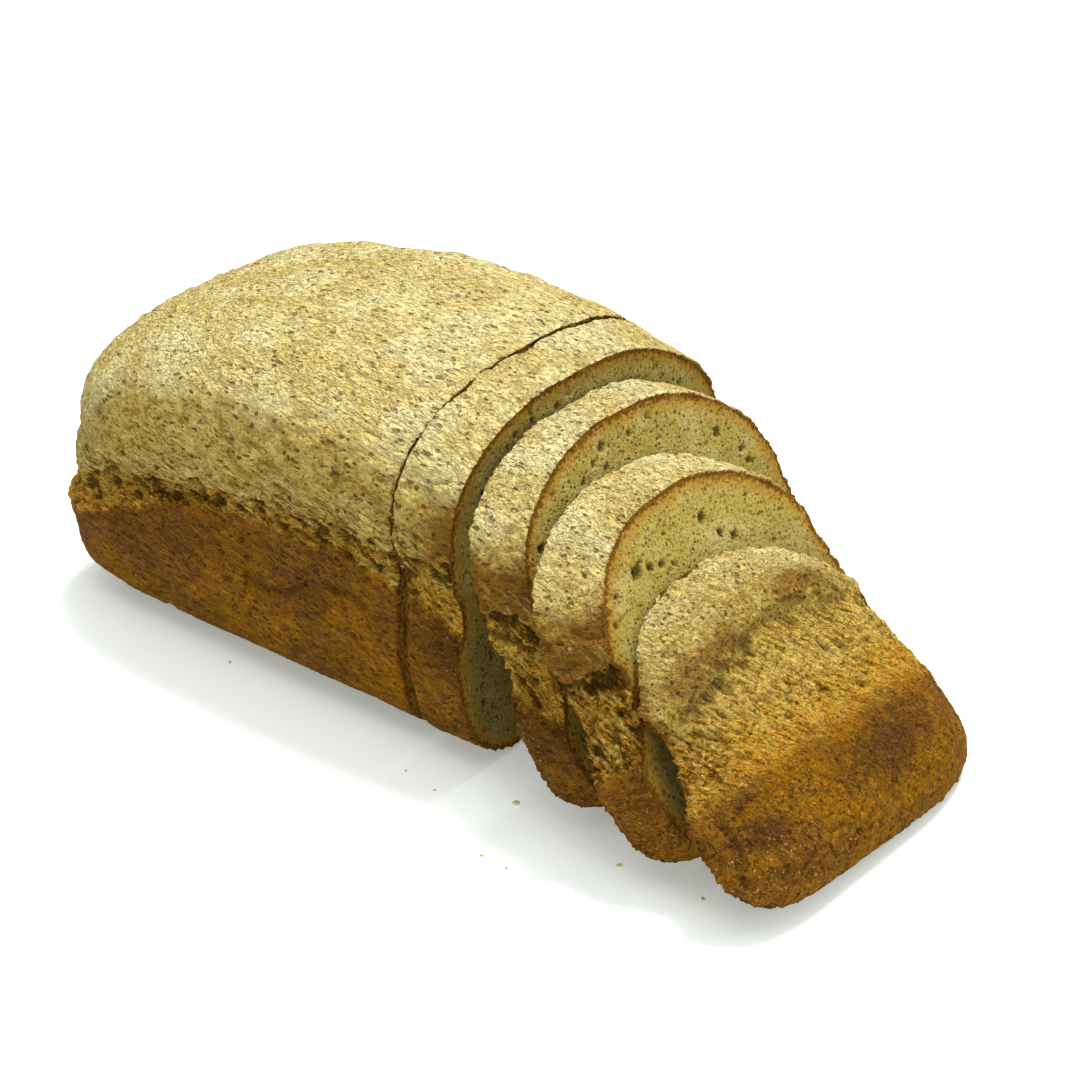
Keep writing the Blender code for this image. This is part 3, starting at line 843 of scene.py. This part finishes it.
class LOAF_OT_stage(bpy.types.Operator):
    """Set the pale table, the soft light and the camera"""
    bl_idname = "loaf.stage"
    bl_label = "Set the Stage"

    def execute(self, context):
        settings, scene = context.scene.loaf_stage, context.scene
        bm = bmesh.new()
        bmesh.ops.create_circle(bm, cap_ends=True, segments=96, radius=FLOOR_RADIUS)
        mesh = bpy.data.meshes.new("table")
        bm.to_mesh(mesh)
        bm.free()
        # Plain white shooting table: matte, with a faint light of its own, so that shadows on it stay light.
        material, tree, shader = new_material("matte_white_shooting_table")
        shader.inputs["Base Color"].default_value = (*settings.floor, 1.0)
        shader.inputs["Roughness"].default_value = 0.8
        shader.inputs["Specular IOR Level"].default_value = 0.1
        shader.inputs["Emission Color"].default_value = (*settings.sky, 1.0)
        shader.inputs["Emission Strength"].default_value = settings.glow
        mesh.materials.append(material)
        table = bpy.data.objects.new("table", mesh)
        scene.collection.objects.link(table)

        world = bpy.data.worlds.new("even_white_studio")
        world.use_nodes = True
        background = world.node_tree.nodes["Background"]
        background.inputs["Color"].default_value = (*settings.sky, 1.0)
        background.inputs["Strength"].default_value = settings.world
        scene.world = world
        for name, (place, size, share) in SOFTBOXES.items():
            light = bpy.data.lights.new(name, "AREA")
            light.shape = "SQUARE"
            light.size = size
            light.energy = settings.key * share
            lamp = bpy.data.objects.new(name, light)
            scene.collection.objects.link(lamp)
            lamp.location = place
            lamp.rotation_euler = (CAMERA_AIM - Vector(place)).to_track_quat("-Z", "Y").to_euler()

        data = bpy.data.cameras.new("camera")
        data.lens = settings.lens
        data.sensor_width = SENSOR_WIDTH
        data.clip_start, data.clip_end = 0.01, 20.0
        camera = bpy.data.objects.new("camera", data)
        scene.collection.objects.link(camera)
        back = (CAMERA_AT - CAMERA_AIM).normalized()
        turn = back.to_track_quat("Z", "Y") @ Euler((0, 0, CAMERA_ROLL)).to_quaternion()
        camera.location = CAMERA_AT
        camera.rotation_euler = turn.to_euler()
        scene.camera = camera
        scene.view_settings.view_transform = "Standard"
        return {"FINISHED"}


class LOAF_PT_sidebar(bpy.types.Panel):
    """The loaf's pieces, sizes and colours"""
    bl_label = "Brown Tin Loaf"
    bl_idname = "LOAF_PT_sidebar"
    bl_space_type = "VIEW_3D"
    bl_region_type = "UI"
    bl_category = "Bread"

    def draw(self, context):
        for operator in OPERATORS:
            self.layout.operator(operator.bl_idname)
        for group in GROUPS:
            settings = getattr(context.scene, group)
            box = self.layout.box()
            for prop in settings.bl_rna.properties:
                if prop.identifier not in ("rna_type", "name"):
                    box.prop(settings, prop.identifier)


OPERATORS = (LOAF_OT_block, LOAF_OT_slices, LOAF_OT_heel, LOAF_OT_crumbs, LOAF_OT_stage)
GROUPS = {
    "loaf_colours": LoafColours, "loaf_sizes": LoafSizes, "loaf_crumbs": CrumbSettings,
    "loaf_stage": StageSettings}


def register():
    for item in (*GROUPS.values(), *OPERATORS, LOAF_PT_sidebar):
        bpy.utils.register_class(item)
    for name, group in GROUPS.items():
        setattr(bpy.types.Scene, name, PointerProperty(type=group))


def unregister():
    for name in GROUPS:
        delattr(bpy.types.Scene, name)
    for item in (LOAF_PT_sidebar, *reversed(OPERATORS), *reversed(GROUPS.values())):
        bpy.utils.unregister_class(item)


def main():
    register()
    bpy.ops.loaf.block()
    bpy.ops.loaf.slices()
    bpy.ops.loaf.heel()
    bpy.ops.loaf.crumbs()
    bpy.ops.loaf.stage()


if __name__ == "__main__":
    main()
